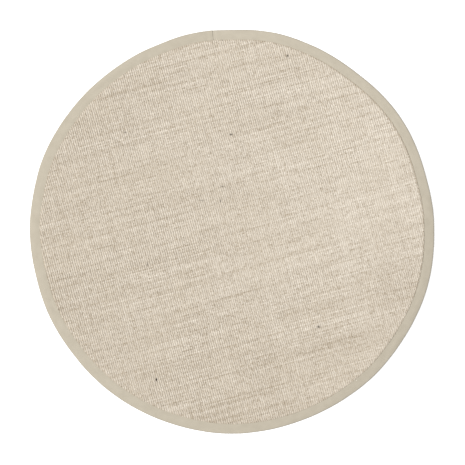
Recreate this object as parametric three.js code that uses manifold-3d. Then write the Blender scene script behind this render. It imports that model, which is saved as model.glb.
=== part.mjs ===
// A round rug: a disc of ribbed sisal weave whose cut edge is bound with a folded cotton tape.
// Millimetres and degrees. +Z is up, +X and +Y lie in the floor, and the origin is at the middle
// of the underside. Angles run anticlockwise from +X, seen from above.
import * as THREE from "three";
import { mergeVertices } from "three/addons/utils/BufferGeometryUtils.js";
import Module from "manifold-3d";

const wasm = await Module();
wasm.setup();

// The rug's size, its thickness up to the crowns of the ribs
const RUG_DIAMETER = 1500;
const SISAL_THICKNESS = 7.5;

// The ribs of the weave: rows of loops, slightly off the upright
const RIB_PITCH = 7.9;
const RIB_DEPTH = 1.4;
const RIB_FULLNESS = 0.5;
const RIB_HEADING = 105;

// The tape that is folded round the cut edge and sewn through the pressed sisal
const TAPE_THICKNESS = 1;
const TAPE_TOP_WIDTH = 38;
const TAPE_BACK_WIDTH = 34;
const SEWN_GAP = 0.3;
const BACK_RAMP = 12;

// The rise of the tape's softly domed top, from the fold to the sewn edge
const FOLD_HEIGHT = 4;
const CREST_PULL = 5.2;
const CREST_INSET = 12;
const SEWN_HEIGHT = 6;

// The lap where the end of the tape is turned in and sewn over its start
const LAP_HEADING = 96.2;
const LAP_WIDTH = 8.5;
const LAP_RISE = 0.8;

// How far the cut edge strays from a true circle, as one soft bulge or dent a row
const EDGE_WANDER = [
  { at: 0, out: -1.2, spread: 6 },
  { at: 15, out: -3.5, spread: 7 },
  { at: 34, out: 3.4, spread: 10 },
  { at: 53, out: -3, spread: 7 },
  { at: 77, out: 3.2, spread: 8 },
  { at: 90, out: -2.6, spread: 5 },
  { at: 111, out: -2.6, spread: 5 },
  { at: 124, out: -3.9, spread: 13 },
  { at: 159, out: 4.8, spread: 10 },
  { at: 178, out: 3.2, spread: 7 },
  { at: 194, out: -1.5, spread: 6 },
  { at: 217, out: -2.4, spread: 8 },
  { at: 268, out: 2.2, spread: 9 },
  { at: 294, out: -2.3, spread: 12 },
  { at: 315, out: 1.5, spread: 6 },
  { at: 343, out: 3, spread: 10 },
];

// Where the tape was sewn on a little wider or narrower, one soft change a row
const TAPE_DRIFT = [
  { at: 148, out: 2.5, spread: 14 },
  { at: 215, out: 3.5, spread: 32 },
  { at: 290, out: -2.5, spread: 20 },
];

// How fine the faces are
const ROUND_STEPS = 160;
const CURVE_STEPS = 3;
const RIB_PROFILE = [0, 0.16, 0.5, 0.84];
const MERGE_DISTANCE = 1e-3;

// Places in the tape's section, by their distance from the rug's axis
const RADIUS = RUG_DIAMETER / 2;
const CALM_RADIUS = RADIUS / 2;
const FOLD_RADIUS = FOLD_HEIGHT / 2;
const FOLD_START = RADIUS - FOLD_RADIUS;
const SEWN_EDGE = RADIUS - TAPE_TOP_WIDTH;
const BACK_EDGE = RADIUS - TAPE_BACK_WIDTH;
const TAPE_LIFT = TAPE_THICKNESS + SEWN_GAP;
const UP = Math.PI / 2;
const DOWN = -Math.PI / 2;

// The sum of a table's soft bumps in one direction
function bumps(table, degrees) {
  let sum = 0;
  for (const { at, out, spread } of table) {
    const away = ((degrees - at + 540) % 360) - 180;
    sum += out * Math.exp(-((away / spread) ** 2));
  }
  return sum;
}

// Moves a true circle's points out or in, so that they follow the uneven cut edge. The sewn edges
// of the tape also take its drift in width, and the middle of the rug stays where it is.
function followEdge(geometry) {
  const position = geometry.attributes.position;
  for (let i = 0; i < position.count; i += 1) {
    const x = position.getX(i);
    const y = position.getY(i);
    const r = Math.hypot(x, y);
    if (r < MERGE_DISTANCE) continue;
    const degrees = THREE.MathUtils.radToDeg(Math.atan2(y, x)) + 360;
    const outer = THREE.MathUtils.smoothstep(r, 0, CALM_RADIUS);
    const sewn = THREE.MathUtils.clamp((RADIUS - r) / TAPE_TOP_WIDTH, 0, 1);
    const moved = r + outer * (bumps(EDGE_WANDER, degrees) - sewn * bumps(TAPE_DRIFT, degrees));
    position.setXY(i, (x * moved) / r, (y * moved) / r);
  }
  return geometry;
}

// A closed mesh as a solid to join and cut
function solidFrom(geometry) {
  geometry.deleteAttribute("normal");
  geometry.deleteAttribute("uv");
  const merged = mergeVertices(geometry, MERGE_DISTANCE);
  return new wasm.Manifold(
    new wasm.Mesh({
      numProp: 3,
      vertProperties: merged.attributes.position.array,
      triVerts: new Uint32Array(merged.index.array),
    }),
  );
}

// A solid's faces as a mesh geometry
function geometryFrom(solid) {
  const { vertProperties, triVerts } = solid.getMesh();
  const geometry = new THREE.BufferGeometry();
  geometry.setAttribute("position", new THREE.BufferAttribute(vertProperties, 3));
  geometry.setIndex(new THREE.BufferAttribute(triVerts, 1));
  geometry.computeVertexNormals();
  return geometry;
}

// A profile of radius and height, turned once round the upright axis and then made uneven
function turned(profile) {
  const round = new THREE.LatheGeometry(profile.getPoints(CURVE_STEPS), ROUND_STEPS);
  round.rotateX(Math.PI / 2);
  return followEdge(round);
}

// Draws the soft crest from the fold to the sewn edge, some way below the tape's outer face
function crestInward(path, below) {
  const pull = [RADIUS - CREST_INSET, CREST_PULL - below];
  path.quadraticCurveTo(...pull, SEWN_EDGE, SEWN_HEIGHT - below);
}

// The same crest, drawn from the sewn edge back to the fold
function crestOutward(path, below) {
  const pull = [RADIUS - CREST_INSET, CREST_PULL - below];
  path.quadraticCurveTo(...pull, FOLD_START, FOLD_HEIGHT - below);
}

// The disc that is cut from the sisal. Its rim is pressed thin between the tape's back and top.
function cutDisc() {
  const pressedEdge = SEWN_EDGE - SEWN_GAP;
  const raisedEdge = BACK_EDGE - SEWN_GAP;
  const aboveRibs = SISAL_THICKNESS + RIB_DEPTH;
  const profile = new THREE.Path();
  profile.moveTo(0, 0);
  profile.lineTo(raisedEdge - BACK_RAMP, 0);
  profile.lineTo(raisedEdge, TAPE_LIFT);
  profile.lineTo(FOLD_START, TAPE_LIFT);
  profile.lineTo(FOLD_START, FOLD_HEIGHT - TAPE_LIFT);
  crestInward(profile, TAPE_LIFT);
  profile.lineTo(pressedEdge, SEWN_HEIGHT - TAPE_LIFT);
  profile.lineTo(pressedEdge, aboveRibs);
  profile.lineTo(0, aboveRibs);
  return turned(profile);
}

// A slab as wide as the rug, with rounded ribs on top that run in the direction of the loops
function ribbedSlab() {
  const ribs = Math.ceil(RUG_DIAMETER / RIB_PITCH) + 2;
  const start = (-ribs * RIB_PITCH) / 2;
  const valley = SISAL_THICKNESS - RIB_DEPTH;
  const section = new THREE.Shape();
  section.moveTo(start, -RIB_DEPTH);
  for (let rib = 0; rib < ribs; rib += 1) {
    for (const share of RIB_PROFILE) {
      const rise = RIB_DEPTH * Math.sin(Math.PI * share) ** RIB_FULLNESS;
      section.lineTo(start + (rib + share) * RIB_PITCH, valley + rise);
    }
  }
  section.lineTo(-start, valley);
  section.lineTo(-start, -RIB_DEPTH);
  const length = -2 * start;
  const slab = new THREE.ExtrudeGeometry(section, { depth: length, bevelEnabled: false });
  slab.rotateX(Math.PI / 2);
  slab.translate(0, length / 2, 0);
  slab.rotateZ(THREE.MathUtils.degToRad(RIB_HEADING - 90));
  return slab;
}

function sisalField() {
  return geometryFrom(solidFrom(ribbedSlab()).intersect(solidFrom(cutDisc())));
}

// The folded tape's section: a flat back, a round fold at the cut edge and a softly domed top
function tapeSection() {
  const section = new THREE.Path();
  section.moveTo(BACK_EDGE, 0);
  section.lineTo(FOLD_START, 0);
  section.absarc(FOLD_START, FOLD_RADIUS, FOLD_RADIUS, DOWN, UP, false);
  crestInward(section, 0);
  section.lineTo(SEWN_EDGE, SEWN_HEIGHT - TAPE_THICKNESS);
  crestOutward(section, TAPE_THICKNESS);
  section.absarc(FOLD_START, FOLD_RADIUS, FOLD_RADIUS - TAPE_THICKNESS, UP, DOWN, true);
  section.lineTo(BACK_EDGE, TAPE_THICKNESS);
  section.closePath();
  return section;
}

// The lap's section: it lies on the tape's top and round the fold, and is flush with its back
function lapSection() {
  const half = TAPE_THICKNESS / 2;
  const tall = (FOLD_HEIGHT + LAP_RISE) / 2;
  const section = new THREE.Shape();
  section.moveTo(FOLD_START, 0);
  section.absellipse(FOLD_START, tall, FOLD_RADIUS + LAP_RISE, tall, DOWN, UP, false);
  crestInward(section, -LAP_RISE);
  section.lineTo(SEWN_EDGE, SEWN_HEIGHT - half);
  crestOutward(section, half);
  section.absarc(FOLD_START, FOLD_RADIUS, FOLD_RADIUS - half, UP, DOWN, true);
  section.closePath();
  return section;
}

function tapeLap() {
  const shape = { depth: LAP_WIDTH, bevelEnabled: false, curveSegments: CURVE_STEPS };
  const lap = new THREE.ExtrudeGeometry(lapSection(), shape);
  lap.rotateX(Math.PI / 2);
  lap.translate(bumps(EDGE_WANDER, LAP_HEADING), LAP_WIDTH / 2, 0);
  lap.rotateZ(THREE.MathUtils.degToRad(LAP_HEADING));
  return lap;
}

function borderTape() {
  return geometryFrom(solidFrom(turned(tapeSection())).add(solidFrom(tapeLap())));
}

function piece(name, geometry, material) {
  const mesh = new THREE.Mesh(geometry, new THREE.MeshStandardMaterial(material));
  mesh.name = name;
  return mesh;
}

const rug = new THREE.Group();
rug.add(piece("sisal_field", sisalField(), { color: 0xd2c7b5, roughness: 0.95, metalness: 0 }));
rug.add(piece("border_tape", borderTape(), { color: 0xcac1af, roughness: 0.9, metalness: 0 }));

export default rug;
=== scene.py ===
# %% [markdown]
# # A round sisal rug with a bound edge
# The real rug is a disc cut from a roll of sisal weave. Thick yarns cross it and stand up in rows
# of loops, which show as ribs. A cotton tape is folded round the cut edge and sewn through near its
# inner edge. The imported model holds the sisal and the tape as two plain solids. This script reads
# the uneven outline from them and builds the loops, the back, the tape and the stitches there.

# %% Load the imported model
import math

import bmesh
import bpy
import numpy as np
from mathutils import Matrix, Vector


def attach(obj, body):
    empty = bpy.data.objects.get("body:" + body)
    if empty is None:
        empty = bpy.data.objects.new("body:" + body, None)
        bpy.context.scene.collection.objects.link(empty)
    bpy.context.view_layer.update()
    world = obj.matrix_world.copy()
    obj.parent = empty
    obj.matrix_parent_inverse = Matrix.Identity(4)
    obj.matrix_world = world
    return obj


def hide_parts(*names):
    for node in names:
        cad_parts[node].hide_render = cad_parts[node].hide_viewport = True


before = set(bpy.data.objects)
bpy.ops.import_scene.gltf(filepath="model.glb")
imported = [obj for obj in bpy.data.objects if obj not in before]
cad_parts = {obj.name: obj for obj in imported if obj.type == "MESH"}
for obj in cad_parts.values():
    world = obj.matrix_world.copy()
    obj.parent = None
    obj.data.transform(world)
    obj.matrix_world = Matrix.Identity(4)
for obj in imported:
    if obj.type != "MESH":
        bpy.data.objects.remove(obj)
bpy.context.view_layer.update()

# %% [markdown]
# ## Sizes
# Blender counts in metres and a rug maker in millimetres, so each size is written as a number of
# millimetres and is that of the real rug. The few below serve several pieces. The others stand in
# the cell that needs them first. All heights are measured from the floor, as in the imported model.

# %% Sizes that several pieces share
MM = 0.001
RADIUS = 750 * MM
TAPE_WIDTH = 38 * MM
FOLD_HEIGHT = 4 * MM
FOLD_START = RADIUS - FOLD_HEIGHT / 2
print("rug", 2 * RADIUS, "m across, with", round(TAPE_WIDTH / MM), "mm of tape on top")

# %% [markdown]
# ## The uneven edge
# A rug cut and bound by hand is never a true circle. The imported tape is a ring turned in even
# steps, so its corners on those steps give the outer edge and the sewn edge in every direction. The
# sewn edge is the highest part of it. A smooth closed curve through each edge serves every piece
# below, so that all of them follow the same shape.

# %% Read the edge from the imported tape
RING_STEPS = 160
STEP_SLACK = 0.01
SEWN_ABOVE = 5.5 * MM


def corners_of(node):
    """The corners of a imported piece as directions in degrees, radii and heights."""
    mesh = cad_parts[node].data
    spots = np.empty(3 * len(mesh.vertices))
    mesh.vertices.foreach_get("co", spots)
    x, y, z = spots.reshape(-1, 3).T
    return np.degrees(np.arctan2(y, x)), np.hypot(x, y), z


directions, radii, heights = corners_of("border_tape")
ring_places = directions / 360 * RING_STEPS
on_a_step = np.abs(ring_places - np.rint(ring_places)) < STEP_SLACK
ring_steps = np.rint(ring_places).astype(int) % RING_STEPS
outer_edge = np.empty(RING_STEPS)
sewn_edge = np.empty(RING_STEPS)
for step in range(RING_STEPS):
    here = on_a_step & (ring_steps == step)
    outer_edge[step] = radii[here].max()
    sewn_edge[step] = radii[here & (heights > SEWN_ABOVE)].min()
print("edge from", round(outer_edge.min() / MM, 1), "to", round(outer_edge.max() / MM, 1), "mm")

# %% Follow the edge
CALM_RADIUS = RADIUS / 2


def eased(value, start, end):
    """0 before start, 1 after end and a soft rise between them."""
    share = np.clip((value - start) / (end - start), 0, 1)
    return share * share * (3 - 2 * share)


def round_the_rug(radii_by_step, degrees):
    """A radius in any direction, on a smooth closed curve through one radius for each step."""
    place = np.asarray(degrees) / 360 * RING_STEPS
    step = np.floor(place).astype(int)
    t = place - step
    a, b, c, d = (radii_by_step[(step + k) % RING_STEPS] for k in (-1, 0, 1, 2))
    return b + 0.5 * t * (c - a + t * (2 * a - 5 * b + 4 * c - d + t * (3 * (b - c) + d - a)))


def follow_edge(radius, degrees):
    """Moves a place on a true circle out or in, as far as the real edge strays there."""
    outer = round_the_rug(outer_edge, degrees)
    width = outer - round_the_rug(sewn_edge, degrees)
    inset = np.clip((RADIUS - radius) / TAPE_WIDTH, 0, 1)
    strays = outer - RADIUS - inset * (width - TAPE_WIDTH)
    return radius + eased(radius, 0, CALM_RADIUS) * strays


# %% Height of the tape's top
CREST_INSET = 12 * MM
CREST_PULL = 5.2 * MM
SEWN_HEIGHT = 6 * MM
CREST_POINTS = 200


def pulled_curve(start, pull, end):
    """Points of a curve from start to end that is drawn towards pull between them."""
    t = np.linspace(0, 1, CREST_POINTS)
    return (1 - t) ** 2 * start + 2 * t * (1 - t) * pull + t ** 2 * end


def crest(inset):
    """Height of the tape's outer face at a distance in from the true circle."""
    reach = pulled_curve(RADIUS - FOLD_START, CREST_INSET, TAPE_WIDTH)
    return np.interp(inset, reach, pulled_curve(FOLD_HEIGHT, CREST_PULL, SEWN_HEIGHT))


print("tape", round(float(crest(CREST_INSET)) / MM, 1), "mm high on its crest")

# %% [markdown]
# ## Camera
# The rug is seen from straight above. The camera stands a little off its middle, so that the rug
# lies in the picture where it should. Its distance follows from the width that it takes in at the
# height of the fold's widest point, which draws the rug's outline.

# %% Camera straight above the rug
VIEW_WIDTH = 1726.4 * MM
LENS = 50
SENSOR = 36
VIEW_CENTRE = (0.1 * MM, -4.8 * MM)

camera = bpy.data.objects.new("camera", bpy.data.cameras.new("camera"))
camera.data.lens = LENS
camera.data.sensor_width = SENSOR
camera.location = (*VIEW_CENTRE, FOLD_HEIGHT / 2 + VIEW_WIDTH * LENS / SENSOR)
bpy.context.collection.objects.link(camera)
bpy.context.scene.camera = camera
print("camera", round(camera.location.z, 3), "m above the floor")

# %% [markdown]
# ## Studio
# A rug looks flat in even light, so a broad key light comes in low from the left and lets each rib
# cast a little shade, while a white sky fills the rest. Blender's usual view would grey the pale
# rug, so the plain Standard view is chosen. The floor lies just below the rug. It is one flat face,
# made with a bmesh as all pieces here are, so the helper that turns a bmesh into an object comes
# with it.

# %% Sky and key light
KEY_HEADING = math.radians(170)
KEY_HEIGHT = math.radians(30)
KEY_STRENGTH = 4.2
KEY_SPREAD = math.radians(20)
SKY_STRENGTH = 0.58
WHITE = (1, 1, 1, 1)

scene = bpy.context.scene
scene.view_settings.view_transform = "Standard"
sky = bpy.data.worlds.new("sky")
sky.use_nodes = True
sky_light = sky.node_tree.nodes["Background"]
sky_light.inputs["Color"].default_value = WHITE
sky_light.inputs["Strength"].default_value = SKY_STRENGTH
scene.world = sky

key = bpy.data.objects.new("key_light", bpy.data.lights.new("key_light", "SUN"))
key.data.energy = KEY_STRENGTH
key.data.angle = KEY_SPREAD
towards_key = Vector((math.cos(KEY_HEADING), math.sin(KEY_HEADING), math.tan(KEY_HEIGHT)))
key.rotation_euler = towards_key.to_track_quat("Z", "Y").to_euler()
bpy.context.collection.objects.link(key)
print("key light", round(math.degrees(KEY_HEIGHT)), "degrees above the floor")

# %% Floor
FLOOR_SIZE = 30
FLOOR_DROP = 0.2 * MM


def finished_piece(name, shape, smooth=True):
    """Turns a bmesh into an object at the origin, with its place in its mesh."""
    mesh = bpy.data.meshes.new(name)
    shape.to_mesh(mesh)
    shape.free()
    mesh.polygons.foreach_set("use_smooth", [smooth] * len(mesh.polygons))
    piece = bpy.data.objects.new(name, mesh)
    bpy.context.collection.objects.link(piece)
    print(name, len(mesh.polygons), "faces")
    return piece


floor_shape = bmesh.new()
floor_half = FLOOR_SIZE / 2
below = Matrix.Translation((0, 0, -FLOOR_DROP))
bmesh.ops.create_grid(floor_shape, x_segments=1, y_segments=1, size=floor_half, matrix=below)
floor = finished_piece("studio_floor", floor_shape, smooth=False)

# %% [markdown]
# ## Chance, with a seed
# Yarn is uneven, but the rug has to come out the same each time. Each kind of unevenness has its
# own seed: one number for each loop where every loop differs, or numbers on a wide lattice with a
# soft blend between them where something drifts over a hand's width.

# %% Seeded unevenness
LATTICE = 256


def lattice_of(seed):
    """A square of numbers from -1 to 1, always the same for a seed."""
    return np.random.default_rng(seed).uniform(-1, 1, (LATTICE, LATTICE))


def one_each(first, second, seed):
    """A number from -1 to 1 for each pair of whole numbers."""
    return lattice_of(seed)[first % LATTICE, second % LATTICE]


def drifting(first, second, seed):
    """The same, with a soft blend between the whole numbers."""
    whole_1 = np.floor(first).astype(int)
    whole_2 = np.floor(second).astype(int)
    blend_1 = eased(first - whole_1, 0, 1)
    blend_2 = eased(second - whole_2, 0, 1)
    near = one_each(whole_1, whole_2, seed) * (1 - blend_1)
    near = near + one_each(whole_1 + 1, whole_2, seed) * blend_1
    far = one_each(whole_1, whole_2 + 1, seed) * (1 - blend_1)
    far = far + one_each(whole_1 + 1, whole_2 + 1, seed) * blend_1
    return near * (1 - blend_2) + far * blend_2


# %% [markdown]
# ## Sisal loops
# A yarn runs across the rug and rises in one loop on each rib. Forty thousand loops are too many to
# place one by one, and separate loops would cost more faces than the rug can have. So the loops are
# one relief: a grid whose columns sit in the valleys, on the shoulders and on the crowns of the
# ribs, and whose rows sit on each yarn and in the groove beside it. A formula then gives every
# point its height, with some loops taller or pushed aside.

# %% Sizes of the weave
RIB_PITCH = 7.9 * MM
RIB_HEADING = math.radians(105)
RIB_SHARES = np.array([0, 0.16, 0.5, 0.84])
RIB_FULLNESS = 0.5
CROWN = 7.5 * MM
VALLEY = 6.1 * MM
YARN_PITCH = 5.2 * MM
YARN_GROOVE = 0.5 * MM
print(round(2 * RADIUS / RIB_PITCH), "ribs and", round(2 * RADIUS / YARN_PITCH), "yarns")

# %% [markdown]
# Yarns never lie quite straight in a weave, and ribs sway over a wide stretch. The valleys are
# deeper in some places than in others, and they grow shallower towards the right. Each sway or
# drift is written as its size and the numbers of ribs and yarns over which it changes. Beside the
# tape the sewing presses the weave down.

# %% Place the points of the weave
SIDEWAYS = 1.6 * MM
TALLER = 0.25 * MM
RIB_SWAYS = ((3.6 * MM, 45, 90), (1.2 * MM, 14, 50), (0.9 * MM, 3, 24))
YARN_SWAY = (1.6 * MM, 26, 9)
RIB_RELIEF = 0.91
RELIEF_DRIFT = (0.2, 16, 24)
RELIEF_FADE = 0.25
LOOPS_GAP = 0.1 * MM
EDGE_PRESS = 0.4 * MM
EDGE_REACH = 3 * MM


def swaying(rib, yarn, sway, seed):
    """How far a sway moves each point of the weave."""
    size, over_ribs, over_yarns = sway
    return size * drifting(rib / over_ribs, yarn / over_yarns, seed)


def past_the_tape(x, y):
    """How far each point lies past the place where the loops meet the tape's sewn edge."""
    degrees = np.degrees(np.arctan2(y, x))
    return np.hypot(x, y) - round_the_rug(sewn_edge, degrees) + LOOPS_GAP


def beside_the_tape(x, y):
    """1 where the weave meets the tape, which softly falls to 0 away from it."""
    return np.exp(-(past_the_tape(x, y) / EDGE_REACH) ** 2)


def weave_points(rib, yarn):
    """Where points of the weave lie. The whole parts of their numbers count ribs and yarns."""
    rib_bulge = np.sin(np.pi * (rib % 1)) ** RIB_FULLNESS
    yarn_bulge = np.sin(np.pi * (yarn % 1))
    loop = (np.floor(rib).astype(int), np.floor(yarn).astype(int))
    top = rib_bulge * yarn_bulge
    across = rib * RIB_PITCH + SIDEWAYS * top * one_each(*loop, seed=1)
    for seed, sway in enumerate(RIB_SWAYS, start=10):
        across = across + swaying(rib, yarn, sway, seed)
    along = yarn * YARN_PITCH + swaying(rib, yarn, YARN_SWAY, seed=3)
    cos, sin = math.cos(RIB_HEADING), math.sin(RIB_HEADING)
    x = across * sin + along * cos
    y = along * sin - across * cos
    relief = RIB_RELIEF + swaying(rib, yarn, RELIEF_DRIFT, seed=20) - RELIEF_FADE * x
    height = CROWN - (CROWN - VALLEY) * relief * (1 - rib_bulge)
    height = height - YARN_GROOVE * (rib_bulge - top) + TALLER * top * one_each(*loop, seed=4)
    return x, y, height - EDGE_PRESS * beside_the_tape(x, y)


# %% [markdown]
# The rug is paler on its right and darker at its foot, in a few wide places. A few flecks of bark
# are also caught in the yarn. Each row below is one such place, in millimetres: how far it lies to
# the right of the middle and up from it, how far it reaches, and its tone. A fleck has one reach
# sideways and one up. Beside the tape the pressed weave gets painted shade, most at the upper
# right.

# %% Paler and darker places
PATCHES = (
    (500, 340, 220, 0.09),
    (370, 0, 280, 0.065),
    (630, -220, 110, -0.14),
    (420, -400, 160, -0.05),
    (110, -500, 90, -0.06),
    (0, -660, 240, -0.05),
    (-560, 380, 200, -0.03),
    (-400, 0, 200, 0.03),
)
FLECKS = (
    (-282, -550, 3, 5, 1.5),
    (319, -354, 5, 4, 0.95),
    (204, 650, 3, 4.4, 1.05),
    (-5.5, 358.5, 5, 3, 1),
    (-38, 166, 6, 2.6, 0.6),
    (-113, 114, 9, 2.6, 0.5),
    (-44.5, 112, 2.4, 5, 0.78),
    (-315, -122, 2.4, 8, 0.65),
    (-398, 366.5, 4, 3, 0.75),
)
EDGE_SHADE = 0.15
CORNER_SHADE = 0.68
CORNER_HEADING = 37
CORNER_SPREAD = 42


def nearness(x, y, right, up, wide, tall):
    """1 at a place on the rug, which softly falls to 0 round it."""
    return np.exp(-((x / MM - right) / wide) ** 2 - ((y / MM - up) / tall) ** 2)


def place_tones(x, y):
    """How much paler each point is, less painted shade by the tape, and how much of a fleck lies
    there.
    """
    paler = 0
    for right, up, reach, tone in PATCHES:
        paler = paler + tone * nearness(x, y, right, up, reach, reach)
    # Painted shade beside the tape, strongest at the upper right.
    away = (np.degrees(np.arctan2(y, x)) - CORNER_HEADING + 180) % 360 - 180
    shade = EDGE_SHADE + CORNER_SHADE * np.exp(-(away / CORNER_SPREAD) ** 2)
    paler = paler - shade * beside_the_tape(x, y)
    return paler, sum(dark * nearness(x, y, *place) for *place, dark in FLECKS)


print(len(PATCHES), "paler or darker places and", len(FLECKS), "flecks")

# %% [markdown]
# The relief is built in five bands of ribs, each one closed below, to keep every piece a modest
# size. A band starts as a flat grid whose corners are lifted to their heights. Where it passes the
# tape's sewn edge its faces are deleted, and the corners left beside that edge are drawn onto it.
# Faces whose corners were all drawn there would stand upright, so they are deleted too.

# %% Start and close a band
LOOP_BASE = 3.4 * MM


def number_grid(columns, rows):
    """A flat grid whose corners lie on whole numbers."""
    grid = bmesh.new()
    place = Matrix.Diagonal((columns, rows, 1, 1)) @ Matrix.Translation((0.5, 0.5, 0))
    bmesh.ops.create_grid(grid, x_segments=columns, y_segments=rows, size=0.5, matrix=place)
    numbers = np.rint([corner.co[:2] for corner in grid.verts]).astype(int)
    return grid, numbers[:, 0], numbers[:, 1]


def close_below(shape, height):
    """Draws walls down from the open edge and fills the bottom."""
    rim = [edge for edge in shape.edges if edge.is_boundary]
    for edge in rim:
        edge.smooth = False
    drawn = bmesh.ops.extrude_edge_only(shape, edges=rim)["geom"]
    for part in drawn:
        if isinstance(part, bmesh.types.BMVert):
            part.co.z = height
    low_rim = [part for part in drawn if isinstance(part, bmesh.types.BMEdge)]
    bmesh.ops.holes_fill(shape, edges=low_rim, sides=0)
    bmesh.ops.recalc_face_normals(shape, faces=shape.faces)


# %% Build the bands of loops
YARNS = 280
BAND_EDGES = (-93, -56, -19, 19, 56, 93)
CUT_PAST = 1.2 * MM
SNAP_RANGE = 5 * MM


def cut_at_tape(band, past):
    """Cuts a band along the tape, from how far each corner lies past the sewn edge."""
    corners = band.verts[:]
    outside = {corner for corner, way_past in zip(corners, past) if way_past > CUT_PAST}
    cut = [face for face in band.faces if outside.intersection(face.verts)]
    bmesh.ops.delete(band, geom=cut, context="FACES")
    moved = set()
    for corner, way_past in zip(corners, past):
        if corner.is_valid and corner.is_boundary and way_past > -SNAP_RANGE:
            corner.co.xy *= 1 - way_past / corner.co.xy.length
            moved.add(corner)
    upright = [face for face in band.faces if moved.issuperset(face.verts)]
    bmesh.ops.delete(band, geom=upright, context="FACES")
    beside_tape = [face for face in band.faces if moved.intersection(face.verts)]
    bmesh.ops.triangulate(band, faces=beside_tape, quad_method="BEAUTY")


def loop_band(name, first_rib, last_rib):
    """Builds some ribs. A spare rib on each side makes the cut the same in the next band."""
    per_rib = len(RIB_SHARES)
    band, column, row = number_grid(per_rib * (last_rib - first_rib + 2), 2 * YARNS)
    rib = first_rib - 1 + column // per_rib + RIB_SHARES[column % per_rib]
    yarn = row / 2 - YARNS / 2
    x, y, height = weave_points(rib, yarn)
    weave = band.verts.layers.float_vector.new("weave")
    tones = band.verts.layers.float_vector.new("tones")
    places = zip(zip(x, y, height), zip(rib, yarn), zip(*place_tones(x, y)))
    for corner, (spot, loop_numbers, tone_pair) in zip(band.verts, places):
        corner.co = spot
        corner[weave] = (*loop_numbers, 0)
        corner[tones] = (*tone_pair, 0)
    cut_at_tape(band, past_the_tape(x, y))
    spare = {corner for corner in band.verts if not first_rib <= corner[weave].x <= last_rib}
    outer = [face for face in band.faces if spare.intersection(face.verts)]
    bmesh.ops.delete(band, geom=outer, context="FACES")
    close_below(band, LOOP_BASE)
    return finished_piece(name, band)


loop_bands = []
for number, (first_rib, last_rib) in enumerate(zip(BAND_EDGES, BAND_EDGES[1:]), start=1):
    loop_bands.append(loop_band(f"sisal_loops_{number}", first_rib, last_rib))

# %% [markdown]
# ## Sisal back
# Under the loops the weave is a dense mat with a flat back. Its rim is pressed thin where the tape
# holds it. It could be one mesh with the loops, but it needs far fewer faces than they do. So a
# profile is drawn once and spun round the upright axis, which gives the whole disc, and the spun
# rings are then moved to follow the uneven edge.

# %% Spin the back
TAPE_BACK_WIDTH = 34 * MM
TAPE_THICKNESS = 1 * MM
SEWN_GAP = 0.3 * MM
TAPE_LIFT = TAPE_THICKNESS + SEWN_GAP
BACK_RAMP = 12 * MM
PRESSED_BELOW = 0.3 * MM
RIM_PLACES = (0, 0.2, 0.4, 0.6, 0.8, 1)
BACK_STEPS = 360
MERGE_DISTANCE = 0.001 * MM


def spin_disc(profile, steps):
    """Turns a line of radii and heights, drawn from axis to axis, into a closed disc."""
    disc = bmesh.new()
    corners = [disc.verts.new((radius, 0, height)) for radius, height in profile]
    lines = [disc.edges.new(pair) for pair in zip(corners, corners[1:])]
    turn = {"cent": (0, 0, 0), "axis": (0, 0, 1), "angle": 2 * math.pi, "use_merge": True}
    bmesh.ops.spin(disc, geom=corners + lines, steps=steps, **turn)
    bmesh.ops.remove_doubles(disc, verts=disc.verts, dist=MERGE_DISTANCE)
    bmesh.ops.recalc_face_normals(disc, faces=disc.faces)
    return disc


def back_profile():
    """The back's section: flat below, raised and pressed thin in the tape, flat under the loops."""
    raised_edge = RADIUS - TAPE_BACK_WIDTH - SEWN_GAP
    rim_end = RADIUS - TAPE_WIDTH + LOOPS_GAP
    under_loops = LOOP_BASE - LOOPS_GAP
    profile = [(0, 0), (raised_edge - BACK_RAMP, 0)]
    profile += [(raised_edge, TAPE_LIFT), (FOLD_START, TAPE_LIFT)]
    for share in RIM_PLACES:
        radius = FOLD_START + share * (rim_end - FOLD_START)
        profile.append((radius, crest(RADIUS - radius) - TAPE_LIFT - PRESSED_BELOW))
    return [*profile, (rim_end, under_loops), (0, under_loops)]


def bend_to_edge(shape):
    """Moves every corner out or in with the uneven edge, apart from those on the axis."""
    for corner in shape.verts:
        radius = corner.co.xy.length
        if radius > MERGE_DISTANCE:
            degrees = math.degrees(math.atan2(corner.co.y, corner.co.x))
            corner.co.xy *= follow_edge(radius, degrees) / radius


back_shape = spin_disc(back_profile(), BACK_STEPS)
bend_to_edge(back_shape)
sisal_back = finished_piece("sisal_back", back_shape, smooth=False)

# %% [markdown]
# ## Border tape
# The tape could be spun like the back, but a spun ring has no ends that overlap. The real one is a
# long strip, so it starts as a flat grid: its columns are places along the strip and its rows are
# places across it. The rows are folded round the rug's edge and the columns are bent into the ring.
# A Solidify modifier then gives the cloth its thickness. Some rows lie on the back, some round the
# fold and most on the top, closest together where it is sewn.

# %% Fold the strip's section
BACK_PLACES = (0, 0.5)
FOLD_PLACES = (0, 30, 60, 90, 120, 150)
TOP_INSETS = (2.6, 5, 8, 12, 16.5, 21.5, 26.5, 31, 33, 34.2, 35, 35.8, 36.9, 37.8, 38)
TOP_PLACES = tuple(inset * MM for inset in TOP_INSETS)


def tape_section():
    """The middle line of the folded tape as radii, heights and outward directions."""
    back_edge = RADIUS - TAPE_BACK_WIDTH
    half = TAPE_THICKNESS / 2
    spots = [(back_edge + share * (FOLD_START - back_edge), half) for share in BACK_PLACES]
    bend = FOLD_HEIGHT / 2 - half
    for degrees in FOLD_PLACES:
        turn = math.radians(degrees)
        spots.append((FOLD_START + bend * math.sin(turn), FOLD_HEIGHT / 2 - bend * math.cos(turn)))
    spots += [(RADIUS - inset, crest(inset) - half) for inset in TOP_PLACES]
    radius, height = np.array(spots).T
    ahead = np.array([np.gradient(radius), np.gradient(height)])
    ahead = ahead / np.hypot(*ahead)
    return radius, height, ahead[1], -ahead[0]


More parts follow.
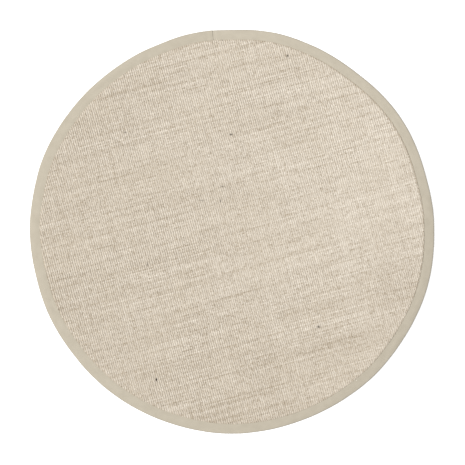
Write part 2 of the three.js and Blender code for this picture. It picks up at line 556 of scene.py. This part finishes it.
section_radius, section_height, out_radius, out_height = tape_section()
row_gaps = np.hypot(np.diff(section_radius), np.diff(section_height))
across = np.concatenate([[0], row_gaps.cumsum()])
strip_width = row_gaps.sum()
print("tape strip", round(strip_width / MM, 1), "mm wide")

# %% [markdown]
# The strip is a little longer than the edge, so its start lies on its own end, which makes the one
# crisp line across the tape. The cloth is pressed thinner there, and a soft crease runs beside it.
# Places along the strip are given in degrees of turn from its start.

# %% Let the ends overlap
LAP_EDGE = 95.75
LAP_TURN = 0.66
LAP_SLOPE = 1
STITCHES = 640
COLUMNS_A_STITCH = 3
END_COLUMNS = 36


def strip_turns():
    """Places along the strip, close together where its ends overlap."""
    even = np.linspace(0, 360, COLUMNS_A_STITCH * STITCHES + 1)
    lap_side = np.linspace(0, LAP_TURN + LAP_SLOPE, END_COLUMNS)
    under_side = np.linspace(360 - LAP_TURN - LAP_SLOPE, 360 + LAP_TURN, END_COLUMNS)
    inner = even[(even > lap_side[-1]) & (even < under_side[0])]
    return np.concatenate([lap_side, inner, under_side])


def overlap(turn):
    """How far the strip lies on its own end, and how far under its own start, from 0 to 1."""
    return 1 - eased(turn, LAP_TURN, LAP_TURN + LAP_SLOPE), eased(turn, 360 - LAP_SLOPE, 360)


turns = strip_turns()

# %% [markdown]
# The stitches pull the cloth down along their line and pucker it. The dome of the tape and its fold
# come out a little fuller in some places than in others. Each of these is a distance by which the
# cloth stands out from its plain section, so they can simply be added up.

# %% Let the cloth dip, pucker and drift
STITCH_TURN = 360 / STITCHES
STITCH_INSET = 35.6 * MM
STITCH_DIP = 0.12 * MM
EVEN_DIP = 0.65
DIP_REACH = 1.2 * MM
PUCKER = 0.08 * MM
PUCKER_REACH = 4 * MM
DOME_DRIFT = 0.25 * MM
DOME_TURN = 4.5
DOME_SPAN = 14 * MM
FOLD_DRIFT = 0.25 * MM
FOLD_TURN = 3
CREASE_TURN = 359.2
CREASE_REACH = 0.13
CREASE_DEPTH = 0.2 * MM
LAP_RISE = 0.7 * MM
LAP_LAYER = 0.65 * MM


def tape_relief(turn, inset, top):
    """How far the cloth stands out. The share called top is 0 on the back and 1 on the top."""
    stitch = np.cos(2 * np.pi * (turn / STITCH_TURN - 0.5))
    line = np.exp(-((inset - STITCH_INSET) / DIP_REACH) ** 2)
    relief = -STITCH_DIP * line * (EVEN_DIP + (1 - EVEN_DIP) * stitch)
    relief = relief - PUCKER * stitch * eased(inset, STITCH_INSET - PUCKER_REACH, STITCH_INSET)
    dome = np.sin(np.pi * np.clip(inset / TAPE_WIDTH, 0, 1))
    relief = relief + DOME_DRIFT * dome * drifting(turn / DOME_TURN, inset / DOME_SPAN, seed=5)
    relief = relief + FOLD_DRIFT * (1 - dome) * drifting(turn / FOLD_TURN, 0 * inset, seed=6)
    crease = np.exp(-((turn - CREASE_TURN) / CREASE_REACH) ** 2)
    lap, under = overlap(turn)
    ends = lap * LAP_RISE * top - under * (LAP_LAYER - LAP_RISE * top)
    return top * (relief - CREASE_DEPTH * crease) + ends


# %% Bend the strip into the ring
PRESSED_SHARE = 0.6


def tape_points(turn, row):
    """Where points of the tape's middle layer lie."""
    degrees = LAP_EDGE + turn
    fold_row = len(BACK_PLACES)
    top = eased(row, fold_row, fold_row + len(FOLD_PLACES) / 2)
    inset = np.where(row > fold_row, RADIUS - section_radius[row], 0)
    relief = tape_relief(turn, inset, top)
    radius = follow_edge(section_radius[row], degrees) + relief * out_radius[row]
    height = section_height[row] + relief * out_height[row]
    angle = np.radians(degrees)
    return radius * np.cos(angle), radius * np.sin(angle), height


strip, column, row = number_grid(len(turns) - 1, len(section_radius) - 1)
tape_place = strip.verts.layers.float_vector.new("strip")
fullness = strip.verts.layers.deform.new()
spots = zip(*tape_points(turns[column], row))
strip_places = zip(np.radians(turns[column]) * RADIUS, across[row])
full = 1 - sum(overlap(turns[column]))
for corner, spot, strip_place, share in zip(strip.verts, spots, strip_places, full):
    corner.co = spot
    corner[tape_place] = (*strip_place, 0)
    corner[fullness][0] = share
border_tape = finished_piece("border_tape_cloth", strip)
thickness = border_tape.modifiers.new("cloth thickness", "SOLIDIFY")
thickness.thickness = TAPE_THICKNESS
thickness.offset = 0
thickness.vertex_group = border_tape.vertex_groups.new(name="full thickness").name
thickness.thickness_vertex_group = PRESSED_SHARE

# %% [markdown]
# ## Stitches
# One row of stitches holds the tape, about two and a half millimetres from its inner edge. Each
# stitch is a short piece of thread that dips into the cloth at both ends, so a small stretched ball
# does for it. One ball is repeated in a straight row by an Array modifier, which is much quicker
# than making each one, and the row is then bent onto the ring of the uneven tape. Each stitch lies
# a little aslant, as a hand-guided seam does.

# %% Repeat one stitch in a row
STITCH_SIZE = (2.2 * MM, 0.36 * MM, 0.2 * MM)
STITCH_SLANT = math.radians(6)
STITCH_RISE = 0.02 * MM
STITCH_SPACE = 2 * math.pi * (RADIUS - STITCH_INSET) / STITCHES

one_stitch = bmesh.new()
stretched = Matrix.Diagonal((*STITCH_SIZE, 1))
bmesh.ops.create_uvsphere(one_stitch, u_segments=8, v_segments=5, radius=1, matrix=stretched)
stitches = finished_piece("tape_stitches", one_stitch)
copies = stitches.modifiers.new("row of stitches", "ARRAY")
copies.count = STITCHES
copies.use_relative_offset = False
copies.use_constant_offset = True
copies.constant_offset_displace = (STITCH_SPACE, 0, 0)
whole_row = stitches.evaluated_get(bpy.context.evaluated_depsgraph_get())
row_mesh = bpy.data.meshes.new_from_object(whole_row)
stitches.modifiers.clear()
stitches.data = row_mesh
print("row of", STITCHES, "stitches with", len(row_mesh.polygons), "faces")

# %% Bend the row onto the tape
straight = np.empty(3 * len(row_mesh.vertices))
row_mesh.vertices.foreach_get("co", straight)
along, aside, rise = straight.reshape(-1, 3).T
number = np.rint(along / STITCH_SPACE)
slants = np.tan(STITCH_SLANT * np.random.default_rng(8).uniform(-1, 1, STITCHES))
aside = aside + slants[number.astype(int)] * (along - number * STITCH_SPACE)
middle = (number + 0.5) * STITCH_TURN
angle = np.radians(LAP_EDGE) + (along / STITCH_SPACE + 0.5) * np.radians(STITCH_TURN)
radius = follow_edge(RADIUS - STITCH_INSET, LAP_EDGE + middle) - aside
dip = tape_relief(middle, np.full(len(middle), STITCH_INSET), 1)
height = crest(STITCH_INSET) + dip + STITCH_RISE + rise
bent = np.array([radius * np.cos(angle), radius * np.sin(angle), height])
row_mesh.vertices.foreach_set("co", bent.T.ravel())
row_mesh.update()

# %% [markdown]
# ## Sums in a material
# Patterns are easier to read as sums than as boxes and wires. The small class below holds a node's
# output, and each operator adds the Math node that does the sum. Every other node comes from one
# method, which takes the kind of node, its settings and what goes into its sockets.

# %% Write shader sums as Python
class Finish:
    """A material with its main shader."""

    def __init__(self, name):
        self.material = bpy.data.materials.new(name)
        self.material.use_nodes = True
        self.tree = self.material.node_tree
        self.shader = self.tree.nodes["Principled BSDF"]

    def node(self, kind, settings, inputs, output=0):
        """Adds a node, sets it up and feeds it."""
        made = self.tree.nodes.new("ShaderNode" + kind)
        for name, value in settings.items():
            setattr(made, name, value)
        for name, value in inputs.items():
            self.feed(made.inputs[name], value)
        return Link(self, made.outputs[output])

    def feed(self, socket, value):
        """Wires an output into a socket, or sets a plain value on it."""
        if isinstance(value, Link):
            self.tree.links.new(value.socket, socket)
        else:
            socket.default_value = value

    def surface(self, values):
        """Feeds the main shader's sockets."""
        for name, value in values.items():
            self.feed(self.shader.inputs[name], value)

    def dress(self, *pieces):
        """Puts the finish on some pieces."""
        for piece in pieces:
            piece.data.materials.append(self.material)
        print(self.material.name, "with", len(self.tree.nodes), "nodes")


class Link:
    """A node's output that takes part in sums."""

    def __init__(self, finish, socket):
        self.finish = finish
        self.socket = socket

    def sum(self, operation, first, second=0):
        """Adds the Math node for an operation."""
        return self.finish.node("Math", {"operation": operation}, {0: first, 1: second})

    def __add__(self, other):
        return self.sum("ADD", self, other)

    def __radd__(self, other):
        return self.sum("ADD", other, self)

    def __sub__(self, other):
        return self.sum("SUBTRACT", self, other)

    def __rsub__(self, other):
        return self.sum("SUBTRACT", other, self)

    def __mul__(self, other):
        return self.sum("MULTIPLY", self, other)

    def __rmul__(self, other):
        return self.sum("MULTIPLY", other, self)

    def __pow__(self, other):
        return self.sum("POWER", self, other)

    def __rpow__(self, other):
        return self.sum("POWER", other, self)

    def whole(self):
        return self.sum("FLOOR", self)

    def share(self):
        return self.sum("FRACT", self)

    def sine(self):
        return self.sum("SINE", self)


# %% [markdown]
# A few kinds of node serve several finishes, so each gets a short function. The first function
# adds no node: it turns a colour as a screen shows it, from 0 to 255, into the amounts of light
# that Blender counts in.

# %% Colours, places, noise and blends
def seen(red, green, blue):
    """A colour as a screen shows it, turned into light."""
    channels = np.array([red, green, blue]) / 255
    light = np.where(channels <= 0.04045, channels / 12.92, ((channels + 0.055) / 1.055) ** 2.4)
    return (*light.tolist(), 1)


def vector(finish, first, second, third=0):
    """Three numbers as one place."""
    return finish.node("CombineXYZ", {}, {"X": first, "Y": second, "Z": third})


def pair_from(finish, kind, settings, output):
    """The first two numbers of a place or an attribute."""
    place = finish.node(kind, settings, {}, output=output)
    return [finish.node("SeparateXYZ", {}, {0: place}, output=axis) for axis in "XY"]


def noise(finish, place, scale=1, detail=0):
    """Soft noise from -0.5 to 0.5 round about."""
    inputs = {"Vector": place, "Scale": scale, "Detail": detail}
    return finish.node("TexNoise", {"noise_dimensions": "3D"}, inputs) - 0.5


def chance(finish, place):
    """A number from -0.5 to 0.5 that jumps with every change of place."""
    return finish.node("TexWhiteNoise", {"noise_dimensions": "3D"}, {"Vector": place}) - 0.5


def beyond(finish, value, start, end):
    """0 where a value is below start, and 1 where it is past end."""
    return finish.node("MapRange", {}, {"Value": value, "From Min": start, "From Max": end})


def mixed(finish, share, first, second):
    """Blends two colours, which a Mix node takes in its sockets 6 and 7."""
    inputs = {0: share, 6: first, 7: second}
    return finish.node("Mix", {"data_type": "RGBA", "clamp_factor": True}, inputs, output=2)


def bumped(finish, height, strength, depth):
    """A surface that looks raised, at most as far as depth."""
    return finish.node("Bump", {}, {"Height": height, "Strength": strength, "Distance": depth})


# %% [markdown]
# ## Sisal finish
# Undyed sisal runs from cream to sand. The loops carry their own rib and yarn numbers, so the
# finish reads these, and its tones follow the yarns even where they sway. A tone of 0 means the
# darker colour and 1 the paler one, and the many small tones are added up, each with its weight.
# Every loop's crown gets painted light and shade of its own, mostly a little and now and then a
# lot.
# So does every gap between two loops, and some loops get more painted contrast with their gaps than
# others.

# %% Tones of the loops
LOOP_TONE = 0.52
GAP_TONE = 0.75
CONTRAST_TONE = 1.1
DARK_LEAN = 0.06

sisal = Finish("sisal_weave")
rib, yarn = pair_from(sisal, "Attribute", {"attribute_name": "weave"}, "Vector")
crown = (rib.share() * math.pi).sine() ** 2


def loop_chance(rib_place, seed):
    """A number from -0.5 to 0.5 for each loop."""
    return chance(sisal, vector(sisal, rib_place.whole(), yarn.whole(), seed))


def mostly_small(number):
    """Draws such numbers towards 0, apart from the largest, and leans them to the dark side."""
    return 4 * (number - DARK_LEAN) ** 3


# Painted light and shade on each crown and in each gap, and painted contrast between them.
loop_tone = crown * mostly_small(loop_chance(rib, seed=0))
gap_tone = (1 - crown) * mostly_small(loop_chance(rib + 0.5, seed=3))
contrast = (crown - 0.5) * loop_chance(rib, seed=5)
loops_tone = LOOP_TONE * loop_tone + GAP_TONE * gap_tone + CONTRAST_TONE * contrast

# %% [markdown]
# A yarn keeps its tone for a long way, which draws streaks across the ribs, and here and there it
# shows a darker dash. A rib keeps a tone of its own too, though a weaker one. These tones are soft
# noise whose place moves on slowly in one direction and jumps with every yarn or rib in the other.

# %% Tones of the yarns and ribs
YARN_TONE = 0.55
RIB_TONE = 0.2
DASH_TONE = 0.22
DASH_START = 0.1
DASH_FULL = 0.3


def weave_noise(rib_place, yarn_place, each_rib, each_yarn, seed):
    """Soft noise over the weave, from how far it moves on with each rib and each yarn."""
    return noise(sisal, vector(sisal, rib_place * each_rib, yarn_place * each_yarn, seed))


yarn_tone = weave_noise(rib, yarn.whole(), each_rib=0.015, each_yarn=3.7, seed=0)
rib_tone = weave_noise(rib.whole(), yarn, each_rib=2.3, each_yarn=0.02, seed=9)
dash_noise = weave_noise(rib, yarn.whole(), each_rib=0.1, each_yarn=5.3, seed=21)
dark_dash = beyond(sisal, dash_noise, DASH_START, DASH_FULL)
yarns_tone = YARN_TONE * yarn_tone + RIB_TONE * rib_tone - DASH_TONE * dark_dash

# %% [markdown]
# The valleys between the ribs get painted shade, more in some places than in others and less
# towards the right, and so do the grooves between the yarns. Painted light also makes the whole rug
# a little paler towards the upper right. The patches, the painted shade beside the tape and the
# flecks were stored on the loops and come last.

# %% Mix the sisal's colour
MIDDLE_TONE = 0.494
LIGHT_YARN = seen(230, 221.5, 208.5)
DARK_YARN = seen(162, 148.5, 129.5)
PAINTED_SHADE_COLOUR = seen(190, 177.5, 157)
FLECK_COLOUR = seen(45, 37, 30)
PAINTED_LIGHT_HEADING = math.radians(41)
PAINTED_LIGHT_STRENGTH = 0.08
VALLEY_SHADE = 0.9
VALLEY_FADE = 0.2
VALLEY_STEEPNESS = 0.25
GROOVE_SHADE = 0.25
GROOVE_STEEPNESS = 0.5

paler, fleck = pair_from(sisal, "Attribute", {"attribute_name": "tones"}, "Vector")
right, up = pair_from(sisal, "TexCoord", {}, "Object")
# Painted light: the colour grows a little paler towards the upper right.
painted_light = PAINTED_LIGHT_STRENGTH * (math.cos(PAINTED_LIGHT_HEADING) * right + math.sin(PAINTED_LIGHT_HEADING) * up)
tone = MIDDLE_TONE + loops_tone + yarns_tone + paler + painted_light
yarn_colour = mixed(sisal, tone, DARK_YARN, LIGHT_YARN)
yarn_bulge = (yarn.share() * math.pi).sine() ** GROOVE_STEEPNESS
open_share = crown ** VALLEY_STEEPNESS * ((1 - GROOVE_SHADE) + GROOVE_SHADE * yarn_bulge)
shade_drift = weave_noise(rib, yarn, each_rib=0.05, each_yarn=0.03, seed=17)
# Painted shade: the valleys and grooves are drawn towards a darker colour.
shade = (VALLEY_SHADE + shade_drift - VALLEY_FADE * right) * (1 - open_share)
shaded_colour = mixed(sisal, 1 - shade, PAINTED_SHADE_COLOUR, yarn_colour)
sisal_colour = mixed(sisal, fleck, shaded_colour, FLECK_COLOUR)

# %% [markdown]
# Each yarn is spun from strands that wind round it. They are much finer than the loops, so they are
# bump: noise that is stretched along a slanting line. Sisal is dry and matt.

# %% Finish the sisal
STRAND_SLANT = (3, 2)
STRANDS_EACH_YARN = 8
STRAND_DEPTH = 0.4 * MM

slant = rib * STRAND_SLANT[0] + yarn * STRAND_SLANT[1]
strands = noise(sisal, vector(sisal, slant, yarn * STRANDS_EACH_YARN), scale=1.5, detail=2)
strand_bump = bumped(sisal, strands, strength=0.6, depth=STRAND_DEPTH)
sisal.surface({"Base Color": sisal_colour, "Normal": strand_bump})
sisal.surface({"Roughness": 0.85, "Specular IOR Level": 0.25})
sisal.dress(*loop_bands)

# %% [markdown]
# ## Plain back
# The back isn't seen in use. It is a plain, pale, finely grained coat that holds the yarns.

# %% Finish the back
COAT_LIGHT = seen(206, 192, 166)
COAT_DARK = seen(176, 160, 132)
GRAIN_DEPTH = 0.3 * MM

backing = Finish("natural_backing")
grain = noise(backing, backing.node("TexCoord", {}, {}, output="Object"), scale=400, detail=3)
coat_colour = mixed(backing, 0.5 + grain, COAT_DARK, COAT_LIGHT)
grain_bump = bumped(backing, grain, strength=0.5, depth=GRAIN_DEPTH)
backing.surface({"Base Color": coat_colour, "Normal": grain_bump, "Roughness": 0.9})
backing.dress(sisal_back)

# %% [markdown]
# ## Tape finish
# The tape is a close, plain cotton weave in a greyish sand. It is faintly cloudy, with a thicker
# thread here and there, its last metre is a little paler, and its fold gets painted shade. The
# strip carries its own places in metres, lengthwise and across, so the pattern follows it round the
# rug. Its threads lie half a millimetre apart, so they are bump.

# %% Mix the tape's colour
TAPE_LIGHT = seen(190, 181.5, 164.5)
TAPE_DARK = seen(176.5, 168, 151)
FOLD_SHADE_COLOUR = seen(120, 112, 100)
TAPE_TONE = 0.43
CLOUD_TONE = 1.1
SLUB_TONE = 0.4
LAST_TONE = 0.3
LAST_START = 3.5
LAST_FULL = 3.75
FOLD_ROW = len(BACK_PLACES) + FOLD_PLACES.index(90)
FOLD_SHADE_REACH = 3 * MM
FOLD_SHADE_SHARE = 0.5

cotton = Finish("cotton_tape")
along, over = pair_from(cotton, "Attribute", {"attribute_name": "strip"}, "Vector")


def strip_noise(lengthwise, crosswise, detail):
    """Soft noise over the strip, from how far it moves on with each metre."""
    return noise(cotton, vector(cotton, along * lengthwise, over * crosswise), detail=detail)


cloud = strip_noise(lengthwise=28, crosswise=40, detail=2)
slub = strip_noise(lengthwise=60, crosswise=1500, detail=1)
last_metre = beyond(cotton, along, LAST_START, LAST_FULL)
tape_tone = TAPE_TONE + CLOUD_TONE * cloud + SLUB_TONE * slub + LAST_TONE * last_metre
tape_colour = mixed(cotton, tape_tone, TAPE_DARK, TAPE_LIGHT)
# Painted shade on the fold: its colour is drawn towards a dark grey-brown near the fold.
fold_near = (over - across[FOLD_ROW]) * (1 / FOLD_SHADE_REACH)
fold_shade = FOLD_SHADE_SHARE * math.e ** (0 - fold_near * fold_near)
fold_shaded_colour = mixed(cotton, fold_shade, tape_colour, FOLD_SHADE_COLOUR)

# %% Finish the tape
THREAD_WAVE = 2 * math.pi / (0.55 * MM)
THREAD_DEPTH = 0.08 * MM

threads = (along * THREAD_WAVE).sine() * (over * THREAD_WAVE).sine()
thread_bump = bumped(cotton, threads, strength=0.3, depth=THREAD_DEPTH)
cotton.surface({"Base Color": fold_shaded_colour, "Normal": thread_bump})
cotton.surface({"Roughness": 0.9, "Specular IOR Level": 0.2})
cotton.dress(border_tape)

# %% [markdown]
# ## Thread and floor
# The thread is spun from the same cotton as the tape, so it has the tape's two colours in a fine
# grain. The floor is plain and nearly white. It glows faintly like a light table, so that it stays
# white in the rug's own shade.

# %% Finish the thread
thread = Finish("sewing_thread")
ply = noise(thread, thread.node("TexCoord", {}, {}, output="Object"), scale=900, detail=1)
thread_colour = mixed(thread, 0.5 + ply, TAPE_DARK, TAPE_LIGHT)
thread.surface({"Base Color": thread_colour, "Roughness": 0.8})
thread.dress(stitches)

# %% Finish the floor
FLOOR_GREY = (0.9, 0.9, 0.9, 1)
FLOOR_GLOW = 0.45

studio = Finish("studio_floor")
studio.surface({"Base Color": FLOOR_GREY, "Roughness": 1})
studio.surface({"Emission Color": WHITE, "Emission Strength": FLOOR_GLOW})
studio.dress(floor)

# %% [markdown]
# ## The rug's body
# Every piece rides on the rug's one body and stands for a imported piece.

for piece in (*loop_bands, sisal_back):
    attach(piece, "root")
    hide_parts("sisal_field")
for piece in (border_tape, stitches):
    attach(piece, "root")
    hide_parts("border_tape")
